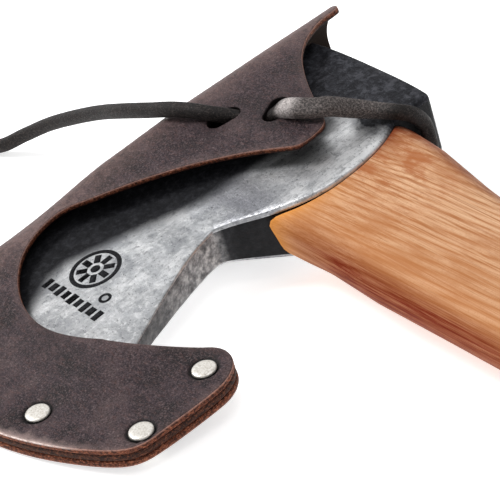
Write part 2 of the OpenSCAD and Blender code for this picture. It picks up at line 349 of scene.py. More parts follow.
# ---- materials
class Nodes:
    """Short names for building a node material."""

    def __init__(self, name):
        self.material = bpy.data.materials.new(name)
        self.material.use_nodes = True
        self.tree = self.material.node_tree
        self.tree.nodes.clear()
        self.bsdf = self.node("ShaderNodeBsdfPrincipled")
        self.node("ShaderNodeOutputMaterial", {"Surface": self.bsdf.outputs[0]})

    def put(self, socket, value):
        if isinstance(value, bpy.types.NodeSocket):
            self.tree.links.new(value, socket)
        else:
            socket.default_value = value

    def node(self, kind, inputs=None, **settings):
        n = self.tree.nodes.new(kind)
        for key, value in settings.items():
            setattr(n, key, value)
        for key, value in (inputs or {}).items():
            self.put(n.inputs[key], value)
        return n

    def local(self, scale=(1, 1, 1)):
        """The point in the axe's frame, in mm, times scale."""
        point = self.node("ShaderNodeAttribute", attribute_name="local").outputs["Vector"]
        return self.node("ShaderNodeMapping", {"Vector": point, "Scale": scale}).outputs[0]

    def axes(self):
        return self.node("ShaderNodeSeparateXYZ", {0: self.local()}).outputs

    def mask(self, name):
        return self.node("ShaderNodeAttribute", attribute_name=name).outputs["Fac"]

    def noise(self, scale, detail, rough, stretch=(1, 1, 1), distort=0.0):
        inputs = {"Vector": self.local(stretch), "Scale": scale, "Detail": detail}
        inputs |= {"Roughness": rough, "Distortion": distort}
        return self.node("ShaderNodeTexNoise", inputs).outputs["Fac"]

    def cells(self, scale, feature="F1"):
        inputs = {"Vector": self.local(), "Scale": scale}
        return self.node("ShaderNodeTexVoronoi", inputs, feature=feature).outputs["Distance"]

    def ramp(self, value, *stops):
        n = self.node("ShaderNodeValToRGB", {0: value})
        elements = n.color_ramp.elements
        while len(elements) < len(stops):
            elements.new(0.5)
        for element, (position, colour) in zip(elements, stops):
            element.position = position
            element.color = (*colour, 1)
        return n.outputs[0]

    def level(self, value, low, high, a=0.0, b=1.0):
        """a to b as value goes from low to high."""
        inputs = {"Value": value, "From Min": low, "From Max": high, "To Min": a, "To Max": b}
        return self.node("ShaderNodeMapRange", inputs).outputs[0]

    def chain(self, operation, values):
        total = values[0]
        for value in values[1:]:
            total = self.node("ShaderNodeMath", {0: total, 1: value}, operation=operation).outputs[0]
        return total

    def plus(self, *values):
        return self.chain("ADD", values)

    def times(self, *values):
        return self.chain("MULTIPLY", values)

    def mix(self, share, a, b, mode="MIX"):
        a, b = (c if isinstance(c, bpy.types.NodeSocket) else (*c, 1) for c in (a, b))
        inputs = {0: share, 6: a, 7: b}
        return self.node("ShaderNodeMix", inputs, data_type="RGBA", blend_type=mode).outputs[2]

    def layers(self, colour, *rows):
        """Other colours mixed in, each up to most as a value goes from low to high."""
        for value, low, high, most, other in rows:
            colour = self.mix(self.level(value, low, high, 0, most), colour, other)
        return colour

    def masked(self, colour, *rows):
        """Other colours mixed in under masks, each broken up by a value's level."""
        for mask, value, low, high, a, b, other in rows:
            colour = self.mix(self.times(self.mask(mask), self.level(value, low, high, a, b)), colour, other)
        return colour

    def bumps(self, *rows):
        """A normal from (height, strength, depth in mm) rows, each on top of the last."""
        normal = None
        for height, strength, depth in rows:
            inputs = {"Height": height, "Strength": strength, "Distance": depth / 1000}
            if normal is not None:
                inputs["Normal"] = normal
            normal = self.node("ShaderNodeBump", inputs).outputs[0]
        return normal

    def finish(self, colour, roughness, normal, metallic=0.0, specular=0.5):
        for key, value in (
            ("Base Color", colour), ("Roughness", roughness), ("Normal", normal),
            ("Metallic", metallic), ("Specular IOR Level", specular),
        ):
            self.put(self.bsdf.inputs[key], value)
        return self.material


def leather_face():
    n = Nodes("leather_face")
    cloud = n.noise(0.05, 6, 0.65)
    mottle = n.noise(0.5, 6, 0.75)
    fine = n.noise(1.7, 5, 0.8)
    streak = n.noise(0.9, 5, 0.7, (0.5, 1.6, 1.0), 0.6)
    grain = n.cells(1.25, "DISTANCE_TO_EDGE")
    colour = n.layers(
        n.ramp(
            cloud, (0.4, (0.014, 0.0095, 0.0115)), (0.5, (0.038, 0.0245, 0.0305)), (0.6, (0.075, 0.05, 0.052))
        ),
        (mottle, 0.5, 0.62, 0.4, (0.11, 0.072, 0.074)),
        (mottle, 0.48, 0.38, 0.4, (0.014, 0.009, 0.011)),
        (streak, 0.52, 0.62, 0.42, (0.11, 0.05, 0.043)),
        (fine, 0.53, 0.66, 0.7, (0.23, 0.17, 0.17)),
        (fine, 0.48, 0.38, 0.8, (0.006, 0.0045, 0.005)),
    )
    colour = n.masked(
        colour,
        # rubbed leather, with a painted highlight on the fold's bend
        ("wear_and_sheen", mottle, 0.4, 0.58, 0.4, 1.0, (0.25, 0.165, 0.15)),
        # painted highlight along the lower edge's corner
        ("lower_edge_highlight", streak, 0.35, 0.55, 0.4, 1.0, (0.6, 0.46, 0.42)),
        # painted shade round the slots and along the cut-out
        ("painted_shade", mottle, 0.36, 0.6, 0.75, 0.3, (0.012, 0.007, 0.007)),
    )
    # painted shadow in the sunk ring round each rivet
    colour = n.mix(n.mask("ring"), colour, (0.004, 0.003, 0.003))
    normal = n.bumps((n.level(grain, 0.0, 0.2), 0.3, 0.12), (fine, 0.55, 0.18), (mottle, 0.4, 0.5))
    return n.finish(colour, n.level(mottle, 0.3, 0.7, 0.4, 0.6), normal, specular=0.16)


def leather_edge(name, dark, mid, light, top=None):
    """A raw cut edge; top is the colour of the painted highlight on its upper corner."""
    n = Nodes(name)
    fibre = n.noise(1.5, 6, 0.75, (0.7, 0.7, 2.6))
    spots = n.noise(1.1, 5, 0.7)
    colour = n.layers(n.ramp(fibre, (0.38, dark), (0.5, mid), (0.64, light)), (spots, 0.46, 0.58, 0.85, dark))
    if top:
        # painted shadow on the lower part of the free edges
        ragged = n.plus(n.mask("depth"), n.level(spots, 0, 1, -0.12, 0.12))
        inner = n.times(n.level(ragged, 0.4, 0.85, 0, 0.9), n.mask("open"))
        colour = n.mix(inner, colour, tuple(c * 0.3 for c in dark))
        # painted highlight on the edge's upper corner
        lit = n.times(n.level(ragged, 0.36, 0.1, 0, 0.95), n.level(fibre, 0.36, 0.54, 0.35, 1.0))
        colour = n.mix(lit, colour, top)
        # painted highlight, near white, on the upper corner of the lower edge
        corner = n.times(n.level(n.mask("depth"), 0.46, 0.24), n.mask("lower_edge_highlight"))
        colour = n.mix(n.times(corner, n.level(spots, 0.4, 0.54, 0.35, 1)), colour, (0.95, 0.8, 0.75))
        # painted shade on the edges inside the slots
        colour = n.mix(n.mask("slot"), colour, (0.006, 0.004, 0.004))
    return n.finish(colour, n.level(fibre, 0.3, 0.7, 0.5, 0.8), n.bumps((fibre, 0.7, 0.3)), specular=0.15)


def leather_inside():
    n = Nodes("leather_inside")
    nap = n.noise(3.0, 4, 0.75)
    cloud = n.noise(0.1, 4, 0.6)
    # near black: painted shade on the inner face, inside the fold
    colour = n.ramp(nap, (0.3, (0.007, 0.005, 0.004)), (0.7, (0.03, 0.02, 0.016)))
    colour = n.layers(colour, (cloud, 0.4, 0.7, 0.5, (0.014, 0.01, 0.008)))
    return n.finish(colour, n.level(nap, 0.2, 0.8, 0.8, 0.95), n.bumps((nap, 0.6, 0.3)), specular=0.06)


def lace():
    n = Nodes("thong_leather")
    fibre = n.noise(2.1, 5, 0.75, (0.7, 0.7, 1.1))
    spots = n.noise(0.7, 5, 0.7)
    colour = n.ramp(
        fibre, (0.36, (0.004, 0.0035, 0.0035)), (0.52, (0.013, 0.0105, 0.01)), (0.68, (0.075, 0.06, 0.055))
    )
    colour = n.layers(colour, (spots, 0.5, 0.68, 0.5, (0.04, 0.031, 0.028)))
    colour = n.masked(
        colour,
        ("rub", fibre, 0.44, 0.64, 0.1, 0.75, (0.24, 0.205, 0.195)),
        # a rubbed spot with a painted highlight where the lace leaves the slot
        ("worn_highlight", fibre, 0.42, 0.58, 0.35, 1.0, (0.7, 0.64, 0.62)),
    )
    normal = n.bumps((fibre, 0.7, 0.3), (spots, 0.5, 0.5))
    return n.finish(colour, n.level(spots, 0.3, 0.7, 0.45, 0.7), normal, specular=0.2)


def forged_steel():
    """Grey, pitted steel, with black scale on the poll, painted shade where the sheath covers the cheek and beside
    the wood's shoulder, and painted light towards the cheek's top.
    """
    n = Nodes("forged_steel")
    x, y, _ = n.axes()
    cloud = n.noise(0.08, 5, 0.62)
    mottle = n.noise(0.42, 7, 0.72, distort=0.4)
    pits = n.noise(1.3, 6, 0.75)
    brush = n.noise(0.7, 5, 0.7, (1.0, 0.22, 1.0))
    # darker towards the bevel; lighter towards the top as painted light, where the tab and the lace shade the
    # cheek
    silver = n.layers(
        n.ramp(cloud, (0.4, (0.38, 0.39, 0.41)), (0.5, (0.56, 0.57, 0.585)), (0.6, (0.74, 0.745, 0.755))),
        (y, -56, -92, 0.62, (0.3, 0.3, 0.305)),
        (y, -20, 8, 0.6, (0.95, 0.95, 0.96)),
        (mottle, 0.52, 0.64, 0.7, (0.86, 0.865, 0.87)),
    )
    ragged = n.plus(x, n.level(brush, 0.3, 0.7, -5, 5))
    # painted shade on the cheek beside the wood's shoulder
    neck = n.times(n.level(y, -36, -25), n.level(y, -9, -18), n.level(ragged, 7, -6, 0, 0.8))
    silver = n.layers(
        n.mix(neck, silver, (0.16, 0.16, 0.18)),
        (brush, 0.5, 0.4, 0.45, (0.3, 0.31, 0.325)),
        (mottle, 0.45, 0.37, 0.6, (0.2, 0.205, 0.215)),
        (pits, 0.41, 0.36, 0.9, (0.05, 0.05, 0.054)),
    )
    dark = n.layers(
        n.ramp(
            mottle, (0.42, (0.014, 0.0142, 0.017)), (0.52, (0.028, 0.0285, 0.034)),
            (0.64, (0.066, 0.067, 0.078)),
        ),
        (pits, 0.55, 0.66, 0.6, (0.09, 0.092, 0.105)),
    )
    poll = n.level(n.plus(y, n.level(cloud, 0, 1, -9, 9), n.times(x, -0.1)), 18, 25)
    # painted shade under the sheath's edge: near black, rougher and not metallic
    sheath_shade = n.level(n.plus(n.mask("sheath_shade"), n.level(mottle, 0, 1, -0.4, 0.4)), 0.08, 0.88, 0, 0.975)
    # black scale on the poll, together with the painted shade under the sheath
    scale = n.chain("MAXIMUM", (poll, sheath_shade))
    colour = n.mix(n.times(sheath_shade, 0.7), n.mix(scale, silver, dark), (0.003, 0.003, 0.0035))
    rough = n.plus(n.level(mottle, 0.3, 0.7, 0.42, 0.27), n.times(scale, 0.12))
    metal = n.times(n.level(scale, 0, 1, 0.88, 0.2), n.level(sheath_shade, 0, 0.9, 1, 0))
    return n.finish(colour, rough, n.bumps((mottle, 0.42, 0.35), (pits, 0.4, 0.15)), metal, 0.05)


def dark_steel():
    """The head's side faces: black scale, painted shade from the wood's shoulder up, and bare steel under the
    beard.
    """
    n = Nodes("dark_steel")
    x, y, _ = n.axes()
    mottle = n.noise(0.4, 6, 0.7)
    pits = n.noise(1.6, 5, 0.7)
    colour = n.ramp(
        mottle, (0.3, (0.012, 0.012, 0.014)), (0.55, (0.035, 0.036, 0.04)), (0.8, (0.1, 0.1, 0.108))
    )
    # painted shade: near black from the wood's shoulder up, where the wood meets the head
    colour = n.mix(n.level(y, -36, -30), colour, n.mix(0.8, colour, (0.004, 0.004, 0.005)))
    bright = n.ramp(mottle, (0.36, (0.1, 0.1, 0.104)), (0.5, (0.3, 0.3, 0.305)), (0.62, (0.55, 0.545, 0.54)))
    bright = n.layers(bright, (y, -47, -66, 0.75, (0.045, 0.045, 0.048)))
    colour = n.mix(n.times(n.level(y, -33.5, -37.5), n.level(x, -30, -14)), colour, bright)
    normal = n.bumps((mottle, 0.5, 0.4), (pits, 0.4, 0.15))
    return n.finish(colour, n.level(mottle, 0.3, 0.7, 0.55, 0.42), normal, 0.45, 0.25)


def stamp_dark():
    n = Nodes("stamp_dark")
    pits = n.noise(1.6, 4, 0.7)
    colour = n.ramp(pits, (0.35, (0.002, 0.002, 0.0025)), (0.7, (0.03, 0.03, 0.034)))
    return n.finish(colour, n.level(pits, 0.3, 0.7, 0.85, 0.7), n.bumps((pits, 0.4, 0.1)), 0.1, 0.1)


def wood():
    """Ash or hickory: year rings cut along the grain, fibres, pores and a small burl near the head."""
    n = Nodes("handle_wood")
    x, y, z = n.axes()
    drift = n.noise(1.0, 2, 0.5, (0.008, 0.045, 0.045))
    curl = n.noise(1.0, 1, 0.5, (0.03, 0.06, 0.06))
    fibre = n.noise(1.3, 7, 0.74, (0.008, 1.5, 1.5))
    strand = n.noise(1.0, 3, 0.5, (0.009, 0.7, 0.7))
    pores = n.noise(1.1, 4, 0.65, (0.03, 3.4, 3.4))
    cloud = n.noise(0.07, 5, 0.65, (0.35, 1, 1))
    knots = n.noise(0.16, 6, 0.7, (0.5, 1, 1))
    speck = n.noise(1.9, 4, 0.7)
    near_head = n.times(n.level(y, -2, 18), n.level(x, 52, 4))
    ring = n.plus(
        n.times(y, 0.36), n.times(z, 0.16), n.times(x, -0.032), n.level(drift, 0, 1, -1.8, 1.8),
        n.level(strand, 0, 1, -0.5, 0.5), n.times(n.level(curl, 0, 1, -3.2, 3.2), near_head),
    )
    band = n.plus(n.chain("FRACT", (ring, 0.0)), n.level(fibre, 0, 1, -0.16, 0.16))
    pale, tan, brown = (0.74, 0.45, 0.275), (0.6, 0.31, 0.16), (0.45, 0.185, 0.075)
    colour = n.layers(
        n.ramp(band, (0.0, (0.64, 0.35, 0.19)), (0.4, pale), (0.64, tan), (0.84, brown), (1.0, tan)),
        (fibre, 0.5, 0.62, 0.7, (0.76, 0.5, 0.31)),
        (fibre, 0.49, 0.38, 0.7, (0.36, 0.135, 0.05)),
        (pores, 0.57, 0.68, 0.6, (0.22, 0.075, 0.028)),
        (speck, 0.54, 0.66, 0.4, (0.36, 0.14, 0.06)),
        (cloud, 0.5, 0.62, 0.55, (0.42, 0.165, 0.065)),
        (y, 10, -20, 0.5, (0.5, 0.2, 0.068)),
    )
    burl = n.times(n.level(x, 50, 24), n.level(y, -8, 8), n.level(knots, 0.46, 0.58, 0, 0.75))
    colour = n.mix(burl, colour, (0.4, 0.13, 0.045))
    # painted shade along the lower front and top edges and at the shoulder
    edge_shade = n.times(n.mask("edge_shade"), n.level(fibre, 0.4, 0.6, 1.0, 0.6))
    colour = n.mix(edge_shade, colour, (0.3, 0.045, 0.012), "MULTIPLY")
    colour = n.masked(colour, ("nose", fibre, 0.3, 0.7, 0.5, 0.95, (0.82, 0.33, 0.065)))
    normal = n.bumps((fibre, 0.3, 0.16), (pores, 0.28, 0.1))
    return n.finish(colour, n.level(fibre, 0.3, 0.7, 0.4, 0.55), normal, specular=0.025)


def end_grain(name, light, dark):
    n = Nodes(name)
    rays = n.noise(1.4, 5, 0.7, (0.2, 0.5, 3))
    pores = n.cells(2.4)
    colour = n.ramp(rays, (0.3, dark), (0.7, light))
    colour = n.layers(colour, (pores, 0.25, 0.05, 0.7, tuple(c * 0.4 for c in dark)))
    return n.finish(colour, n.level(rays, 0, 1, 0.6, 0.8), n.bumps((rays, 0.4, 0.2)), specular=0.35)


def nickel():
    n = Nodes("rivet_nickel")
    scuff = n.noise(1.6, 5, 0.65)
    fine = n.noise(6.0, 3, 0.6)
    colour = n.ramp(scuff, (0.36, (0.56, 0.52, 0.46)), (0.5, (0.74, 0.705, 0.65)), (0.66, (0.86, 0.84, 0.8)))
    colour = n.layers(colour, (fine, 0.62, 0.8, 0.35, (0.35, 0.32, 0.28)))
    return n.finish(colour, n.level(scuff, 0.3, 0.7, 0.3, 0.45), n.bumps((scuff, 0.12, 0.1)), 0.65)


def wedge_metal():
    n = Nodes("wedge_steel")
    scuff = n.noise(1.2, 5, 0.7)
    colour = n.ramp(scuff, (0.3, (0.1, 0.1, 0.105)), (0.7, (0.42, 0.42, 0.43)))
    return n.finish(colour, n.level(scuff, 0.3, 0.7, 0.35, 0.6), n.bumps((scuff, 0.4, 0.15)), 0.9)


LEATHER = leather_face()
# the last colour is the painted highlight on the edge's upper corner
EDGE = leather_edge(
    "leather_edge", (0.022, 0.007, 0.005), (0.16, 0.042, 0.019), (0.5, 0.2, 0.11), (0.5, 0.29, 0.235)
)
WELT_EDGE = leather_edge("welt_edge", (0.01, 0.005, 0.004), (0.055, 0.02, 0.012), (0.24, 0.085, 0.045))
INSIDE = leather_inside()
LACE = lace()
STEEL = forged_steel()
DARK = dark_steel()
STAMP = stamp_dark()
WOOD = wood()
TONGUE_END = end_grain("tongue_end", (0.62, 0.42, 0.24), (0.36, 0.2, 0.09))
WEDGE_WOOD = end_grain("wedge_wood", (0.5, 0.3, 0.15), (0.26, 0.13, 0.055))
NICKEL = nickel()
WEDGE_METAL = wedge_metal()


# ---- thong
THONG_D = 4.6
TAIL_ROUTE = [
    [-139, -58, -10.5], [-136, -70, -9.1], [-142, -80, -8], [-154, -82, -7.9],
    [-165, -75, -8.8], [-168, -62, -10.3], [-162, -50, -11.6], [-152, -42, -12.4],
    [-141.5, -37, -12.4], [-133, -30.5, -8.6], [-122, -25.5, -3.2], [-108.5, -22, 2.5],
    [-94.5, -19.5, 8], [-81, -18.5, 13], [-66.5, -15.8, 17], [-57, -13.5, 19.4],
    [-50.5, -10.7, 19.7], [-46, -8.2, 18.9], [-42.5, -4.5, 17], [-39.5, -0.8, 14.6],
    [-36, 1.7, 13.5], [-32, 4.3, 13.7], [-28.5, 6, 15.8], [-25, 6.8, 18.7],
    [-21, 7.2, 20.4], [-17.4, 8.1, 21], [-14.2, 9.9, 21.1],
]
NECK_ROUTE = [
    [-12.65, 11, 21.1], [-11.4, 12.3, 21.05], [-10.4, 14.5, 20.3], [-9, 18.5, 17.9],
    [-7, 22.5, 15.6], [-4, 26, 14], [1.4, 29.2, 13.5], [3, 33, 10.9], [2.9, 36.6, 5.6],
    [2.9, 37.3, 0], [2.9, 36.6, -5.6], [2.9, 33, -10.9], [1.2, 29.5, -13.6],
    [-4.5, 26.2, -13.8], [-8.3, 23.6, -13.6],
]
BACK_ROUTE = [
    [-9.7, 22.3, -13.5], [-11, 20.8, -13.5], [-15, 15, -13.5], [-20, 6, -13.5], [-24, -3, -13.5],
    [-27, -10, -13.2], [-29, -18, -12.7], [-30, -26, -11.6], [-30, -30.4, -10.9],
]
KNOT = np.array([-30.0, -34.0, -10.7])
KNOT_SIZE = 1.25
KNOT_LACE_R = 0.95
PER_SPAN = 8
FLAT_EASE = 20
GAP = 0.012
WORN_HIGHLIGHT_AT = (-21.6, 7.4, 20.9)


def smooth_route(route):
    """A smooth curve through the points of a route, with PER_SPAN points to each span."""
    p = np.array(route, float)
    q = np.vstack([p[:1], p, p[-1:]])
    out = []
    for i in range(1, len(q) - 2):
        a, b, c, d = q[i - 1 : i + 3]
        for t in np.arange(PER_SPAN) / PER_SPAN:
            curve = (2 * a - 5 * b + 4 * c - d) * t * t + (3 * b - a - 3 * c + d) * t**3
            out.append(0.5 * (2 * b + (c - a) * t + curve))
    out.append(p[-1])
    return np.array(out)


def lace_shape(i):
    """The lace's width and thickness at point i: it lies on its flat over the tab and the cheek."""
    first, last = SPLIT_1 - FLAT_SPAN, SPLIT_1 + FLAT_SPAN
    turns = [first, first + FLAT_EASE, SPLIT_1 + FLAT_EASE, last]
    into = eased(np.interp(i, turns, [0, 1, 1, 0]))
    return 1 + 0.5 * into, 1 - 0.03 * into


def lace_rings(path, sides):
    """Rings of a hand-cut lace along path, a little uneven and nearly square."""
    tangents = unit(np.gradient(path, axis=0))
    along = np.concatenate([[0], np.cumsum(np.linalg.norm(np.diff(path, axis=0), axis=1))])
    rng = np.random.default_rng(11)
    wobble = np.convolve(rng.normal(0, 0.5, len(path) + 8), np.ones(9) / 9, "valid")
    u = unit(np.cross(tangents[0], [0.0, 0.0, 1.0]))
    rings = []
    for i, (p, t) in enumerate(zip(path, tangents)):
        u = unit(u - (u @ t) * t)
        v = np.cross(t, u)
        wide, thin = lace_shape(i)
        end = min(along[i], along[-1] - along[i])
        radius = THONG_D / 2 * 0.97 * np.interp(end, [0.0, 0.35, 0.9], [0.84, 0.96, 1.0])
        radius *= 1 + 0.05 * wobble[i]
        for k in range(sides):
            c, s = turned(k, sides)
            r = radius / (abs(c) ** 3 + abs(s) ** 3) ** (1 / 3)
            rings.append(p + u * (r * c * wide) + v * (r * s * thin))
    return np.array(rings).reshape(len(path), sides, 3)


def path_length(p):
    return float(np.linalg.norm(np.diff(lay(p), axis=0), axis=1).sum())


thong_path = smooth_route(TAIL_ROUTE + NECK_ROUTE + BACK_ROUTE)
SPLIT_1 = len(TAIL_ROUTE) * PER_SPAN
SPLIT_2 = (len(TAIL_ROUTE) + len(NECK_ROUTE)) * PER_SPAN
FLAT_SPAN = 6 * PER_SPAN
RINGS = lace_rings(thong_path, 22)


def lace_piece(name, first, last, body, node):
    """The stretch of the lace between two rings, closed at both ends."""
    rings = RINGS[first : last + 1].copy()
    path = thong_path[first : last + 1]
    if first:
        rings[0] += unit(path[1] - path[0]) * GAP
    if last < len(RINGS) - 1:
        rings[-1] -= unit(path[-1] - path[-2]) * GAP
    verts = rings.reshape(-1, 3)
    masks = {
        # a rubbed spot with a painted highlight where the lace leaves the slot
        "worn_highlight": np.clip(1.3 - np.linalg.norm(verts - WORN_HIGHLIGHT_AT, axis=1) / 4.6, 0, 1),
        "rub": np.interp(verts[:, 0], [-27, -22, -4, 2], [0, 1, 1, 0]) * (verts[:, 2] > 5),
    }
    obj = make_mesh(name, verts, tube_faces(*rings.shape[:2]), [LACE], masks=masks)
    obj.data.set_sharp_from_angle(angle=math.radians(60))
    return place(obj, body, "thong_leather", node), path


tail, tail_path = lace_piece("thong_tail_lace", 0, SPLIT_1, "sheath", "thong_tail")
neck, neck_path = lace_piece("thong_neck_lace", SPLIT_1, SPLIT_2, "hatchet", "thong_neck")
back_lace, back_path = lace_piece("thong_back_lace", SPLIT_2, len(RINGS) - 1, "sheath", "thong_back")
lay(tail_path[-1])
path_length(tail_path)
lay(tail_path[::-1])
lay(neck_path[0])
path_length(neck_path)
lay(neck_path)


def knot_piece():
    """A small overhand knot: a short lace wound round itself."""
    sides = 12
    t = np.linspace(0, 2 * math.pi, 72, endpoint=False)
    centre = np.stack([
        KNOT_SIZE * (np.sin(t) + 0.9 * np.sin(2 * t)),
        KNOT_SIZE * (np.cos(t) - 0.9 * np.cos(2 * t)),
        -0.75 * np.sin(3 * t),
    ], 1)
    verts = []
    for p, d in zip(centre, unit(np.roll(centre, -1, 0) - np.roll(centre, 1, 0))):
        u = unit(np.cross(d, [0.1, 0.2, 1.0]))
        v = np.cross(d, u)
        for k in range(sides):
            c, s = turned(k, sides)
            verts.append(KNOT + p + KNOT_LACE_R * (c * u + s * v))
    plain = np.zeros(len(verts))
    faces = ring_faces(len(t), sides, closed=True)
    obj = make_mesh("thong_stopper_knot", verts, faces, [LACE], masks={"worn_highlight": plain, "rub": plain})
    return place(obj, "sheath", "thong_leather", "thong_knot")


knot = knot_piece()
lay(back_path[0])
path_length(back_path)
lay(back_path)


# ---- sheath leather
def panel_height(x, y):
    """Outer half-height of the panels, over the axe's middle plane."""
    x, y = np.asarray(x, float), np.asarray(y, float)
    ramp = SEAM_H + (PANEL_H - SEAM_H) * (y - PANEL_FOOT) / PANEL_RISE
    h = np.minimum(-soft_max(-ramp, -PANEL_H, 1.2), PANEL_H)
    limit = np.interp(x, [-9, 3, 27, 60], [20.4, 7.0, SEAM_H, SEAM_H])
    over = -soft_max(-h, -limit, 0.5) - SEAM_H
    over = soft_max(0, over, 0.5) - 0.5 * math.log(2) * np.exp(-np.maximum(over, 0))
    return np.clip(SEAM_H + over, SEAM_H, PANEL_H)


FOLD_START = -53.0
FOLD_END = -73.0
FOLD_POWER = 1.75


def fold_point(u, height, y):
    """Points across the fold: u = 0 at FOLD_START on the front, 1 at the fold's outermost line.
    Towards the seam the fold is pressed flatter."""
    flat = eased(np.clip((-36 - y) / 40, 0, 1))
    a = 0.9 * height + 0.4 + 5.0 * flat
    cx = FOLD_X + a
    th = np.linspace(0, math.pi / 2, 33)
    out = np.zeros((len(u), 2))
    for i in range(len(u)):
        ex = 2 / (FOLD_POWER - 0.22 * flat[i])
        ux = np.sin(th) ** ex
        uz = np.cos(th) ** ex
        xs = np.concatenate([[FOLD_START], cx[i] - a[i] * ux])
        zs = np.concatenate([[height[i]], height[i] * uz])
        s = np.concatenate([[0], np.cumsum(np.hypot(np.diff(xs), np.diff(zs)))])
        out[i] = np.interp(u[i] * s[-1], s, xs), np.interp(u[i] * s[-1], s, zs)
    return out


def folded(q):
    """Developed points, with the back panel's laid over the front one."""
    return np.where(q[:, 0] >= FOLD_END, q[:, 0], 2 * FOLD_END - q[:, 0]), q[:, 1]


def leather_surface(q):
    """Outer face of the folded leather at developed points q: (across, along)."""
    x, y = folded(q)
    z = panel_height(x, y)
    fold = x < FOLD_START
    if fold.any():
        u = (FOLD_START - x[fold]) / (FOLD_START - FOLD_END)
        height = panel_height(np.full(fold.sum(), FOLD_START), y[fold])
        x[fold], z[fold] = fold_point(u, height, y[fold]).T
    return np.stack([x, y, np.where(q[:, 0] >= FOLD_END, z, -z)], 1)


def leather_normal(q):
    e = 0.15
    du = leather_surface(q + [e, 0]) - leather_surface(q - [e, 0])
    dv = leather_surface(q + [0, e]) - leather_surface(q - [0, e])
    return unit(np.cross(du, dv))


RIVETS = [
    (35.0, -74.5), (41.0, -101.0), (9.0, float(arc_y(SEAM_R - 10.5, 9))),
    (-27.0, float(arc_y(SEAM_R - 10, -27))), (-58.0, float(arc_y(SEAM_R - 10, -58))),
]


def from_rivets(q):
    """Distance of developed points from the nearest rivet."""
    s, y = folded(q)
    return np.min([np.hypot(s - rx, y - ry) for rx, ry in RIVETS], axis=0)


def dimple(q):
    """How far the outer face is pressed in around each rivet."""
    d = from_rivets(q)
    step = 1 + np.exp(np.minimum((d - 4.4) / 0.14, 60))
    return 0.78 / step + 0.14 * np.exp(-((d - 4.7) / 1.5) ** 2)


def rivet_ring_shade(q):
    """1 in the sunk ring round each rivet, which gets a painted shadow."""
    return np.clip((4.85 - from_rivets(q)) / 0.5, 0, 1)


def waves(q):
    """Slow unevenness of hand-cut leather, always inwards."""
    s, y = q[:, 0], q[:, 1]
    w = np.sin(s * 0.11 + 1.3) * np.sin(y * 0.083 + 0.4) + 0.5 * np.sin(s * 0.31 + y * 0.17)
    return 0.09 * (w + 1.5)


def leather_outer(q):
    return leather_surface(q) - leather_normal(q) * (dimple(q) + waves(q))[:, None]


def leather_inner(q):
    return leather_surface(q) - leather_normal(q) * LEATHER_T


def round_corner():
    """The outline from the seam's arc round the corner to the horn."""
    return [
        bezier((ARC_END, arc_y(SEAM_R, ARC_END)), (42.5, -109.5), (46, -107), CORNER, 14),
        bezier(CORNER, (46, -92), (46, -84), (45, -76), 12),
        bezier((45, -76), (43, -67), (35, -63), HORN, 14),
    ]


def half_outline(poll_end):
    """A panel's outline from the fold's seam end round to its poll end, which poll_end gives."""
    cut_low, cut_mid, cut_top = (-12, -92), (-52, -78.5), (-54, -54.5)
    tab_low, tab_high, shoulder = (-7, -1.5), (-9.5, 11), (-38, 25.4)
    seam = arc(SEAM_R, FOLD_END, ARC_END, 60)
    seam[:, 1] = arc_y(SEAM_R, np.maximum(seam[:, 0], FOLD_X))
    x, y = poll_end[-1]
    return np.vstack([
        seam,
        *round_corner(),
        bezier(HORN, (16, -78), (4, -87.5), cut_low, 30),
        bezier(cut_low, (-27, -96), (-43, -89.5), cut_mid, 30),
        bezier(cut_mid, (-56.5, -72.5), (-59, -62), cut_top, 22),
        bezier(cut_top, (-39, -30), (-29, -18), tab_low, 40),
        bezier(tab_low, (-6.5, 3), (-6.5, 9), tab_high, 12),
        bezier(tab_high, (-20, 16), (-28, 19), shoulder, 20),
        bezier(shoulder, *poll_end, 22),
        [(x - 0.7, y + 0.9), (x - 2, TIP_Y), (FOLD_END, TIP_Y)],
    ])


def stadium(centre, turn, length, width, n=14):
    """A slot's outline, turned by so many degrees."""
    d, side = directions(turn)
    out = []
    for sign in (1, -1):
        for t in np.linspace(-math.pi / 2, math.pi / 2, n):
            along = (length - width) / 2 + width / 2 * math.cos(t)
            out.append(centre + sign * (d * along + side * width / 2 * math.sin(t)))
    return np.array(out)


SLOTS = [((-40.8, -5.0), 78, 11.3), ((-28.2, 6.4), 118, 12)]
SLOT_W = 6.2

half = half_outline([(-47, 31), (-56, 39), (-54.5, TIP_Y - 1.2)])
mirrored = half_outline([(-56, 31), (-68, 36), (-68, TIP_Y - 1.2)])[::-1].copy()
mirrored[:, 0] = 2 * FOLD_END - mirrored[:, 0]
outline = even_outline(np.vstack([half, mirrored[1:-1]]), 1.5, 2)
slot_holes = [stadium(c, turn, length, SLOT_W) for c, turn, length in SLOTS]
LEATHER_RIM = [
    (0.6, 0.0), (0.32, 0.03), (0.12, 0.1), (0.02, 0.22), (0.0, 0.5), (0.03, 0.81), (0.2, 0.94), (0.5, 1.0),
]


def rivet_points():
    """Rings of points round the rivets, on both panels, for the leather's mesh to dip along."""
    out = []
    for x, y in RIVETS:
        for r in (1.6, 3.0, 3.75, 4.15, 4.4, 4.65, 5.2, 6.2):
            count = max(8, int(r * 6))
            for k in range(count):
                c, s = turned(k + 0.5 * (r > 4), count)
                out += [(x + r * c, y + r * s), (2 * FOLD_END - x - r * c, y + r * s)]
    return np.array(out)


